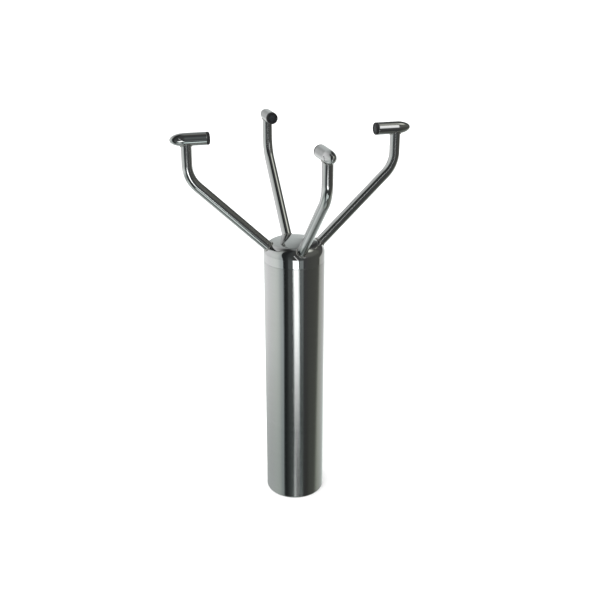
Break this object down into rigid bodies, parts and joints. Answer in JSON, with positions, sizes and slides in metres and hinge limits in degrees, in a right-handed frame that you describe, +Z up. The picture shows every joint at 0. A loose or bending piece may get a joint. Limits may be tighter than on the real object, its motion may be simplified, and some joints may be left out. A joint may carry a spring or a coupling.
{
  "type": "ultrasonic anemometer",
  "caption": "Slim steel mast-top wind sensor: bent tube arms hold transducers facing each other across an open gap, above a slip-on mast socket with clamp screws.",
  "frame": {"origin": "centre of the housing's bottom rim, on the housing's axis", "axes": "+Z up along the housing, +X towards the east arm and +Y towards the north arm"},
  "size_m": [0.233, 0.233, 0.3903],
  "materials": {
    "brushed_steel": "satin",
    "polished_steel": "polished",
    "zinc_steel": "satin",
    "aluminium": "satin",
    "rubber": "matte",
    "transducer_facing": "satin",
    "piezo_ceramic": "matte",
    "backing_resin": "matte",
    "lead_sheath": "matte",
    "nickel_brass": "satin",
    "black_plastic": "satin",
    "board_laminate": "satin",
    "chip_package": "matte"
  },
  "bodies": {
    "anemometer": {"housing_tube": "brushed_steel", "top_cap": "polished_steel", "mast_socket": "zinc_steel", "base_plug": "aluminium", "cap_seal_ring": "rubber", "base_seal_ring": "rubber", "tie_rod_a": "zinc_steel", "tie_rod_b": "zinc_steel", "tie_rod_nut_a": "zinc_steel", "tie_rod_nut_b": "zinc_steel", "board_nut_a": "zinc_steel", "board_nut_b": "zinc_steel", "spacer_sleeve_a": "aluminium", "spacer_sleeve_b": "aluminium", "lower_carrier": "black_plastic", "main_board": "board_laminate", "driver_board": "board_laminate", "front_end_board": "board_laminate", "processor_chip": "chip_package", "pulse_transformer": "black_plastic", "reservoir_capacitor": "aluminium", "connector_shell": "nickel_brass", "connector_nut": "nickel_brass", "connector_insert": "black_plastic", "connector_harness": "lead_sheath", "vent_plug": "black_plastic", "earth_screw": "nickel_brass", "arm_tube_east": "polished_steel", "transducer_shell_east": "polished_steel", "transducer_boot_east": "rubber", "matching_disc_east": "transducer_facing", "piezo_disc_east": "piezo_ceramic", "backing_block_east": "backing_resin", "transducer_lead_east": "lead_sheath", "arm_tube_north": "polished_steel", "transducer_shell_north": "polished_steel", "transducer_boot_north": "rubber", "matching_disc_north": "transducer_facing", "piezo_disc_north": "piezo_ceramic", "backing_block_north": "backing_resin", "transducer_lead_north": "lead_sheath", "arm_tube_west": "polished_steel", "transducer_shell_west": "polished_steel", "transducer_boot_west": "rubber", "matching_disc_west": "transducer_facing", "piezo_disc_west": "piezo_ceramic", "backing_block_west": "backing_resin", "transducer_lead_west": "lead_sheath", "arm_tube_south": "polished_steel", "transducer_shell_south": "polished_steel", "transducer_boot_south": "rubber", "matching_disc_south": "transducer_facing", "piezo_disc_south": "piezo_ceramic", "backing_block_south": "backing_resin", "transducer_lead_south": "lead_sheath"},
    "clamp_screw_lower_east": {"clamp_screw_lower_east": "zinc_steel"},
    "clamp_screw_lower_west": {"clamp_screw_lower_west": "zinc_steel"},
    "clamp_screw_upper_east": {"clamp_screw_upper_east": "zinc_steel"},
    "clamp_screw_upper_west": {"clamp_screw_upper_west": "zinc_steel"}
  },
  "joints": [
    {"name": "lower_east_screw_travel", "type": "slide", "parent": "anemometer", "child": "clamp_screw_lower_east", "axis": [-0.7071, -0.7071, 0], "range_m": [-0.0015, 0.002]},
    {"name": "lower_west_screw_travel", "type": "slide", "parent": "anemometer", "child": "clamp_screw_lower_west", "axis": [0.7071, -0.7071, 0], "range_m": [-0.0015, 0.002]},
    {"name": "upper_east_screw_travel", "type": "slide", "parent": "anemometer", "child": "clamp_screw_upper_east", "axis": [-0.7071, -0.7071, 0], "range_m": [-0.0015, 0.002]},
    {"name": "upper_west_screw_travel", "type": "slide", "parent": "anemometer", "child": "clamp_screw_upper_west", "axis": [0.7071, -0.7071, 0], "range_m": [-0.0015, 0.002]}
  ]
}
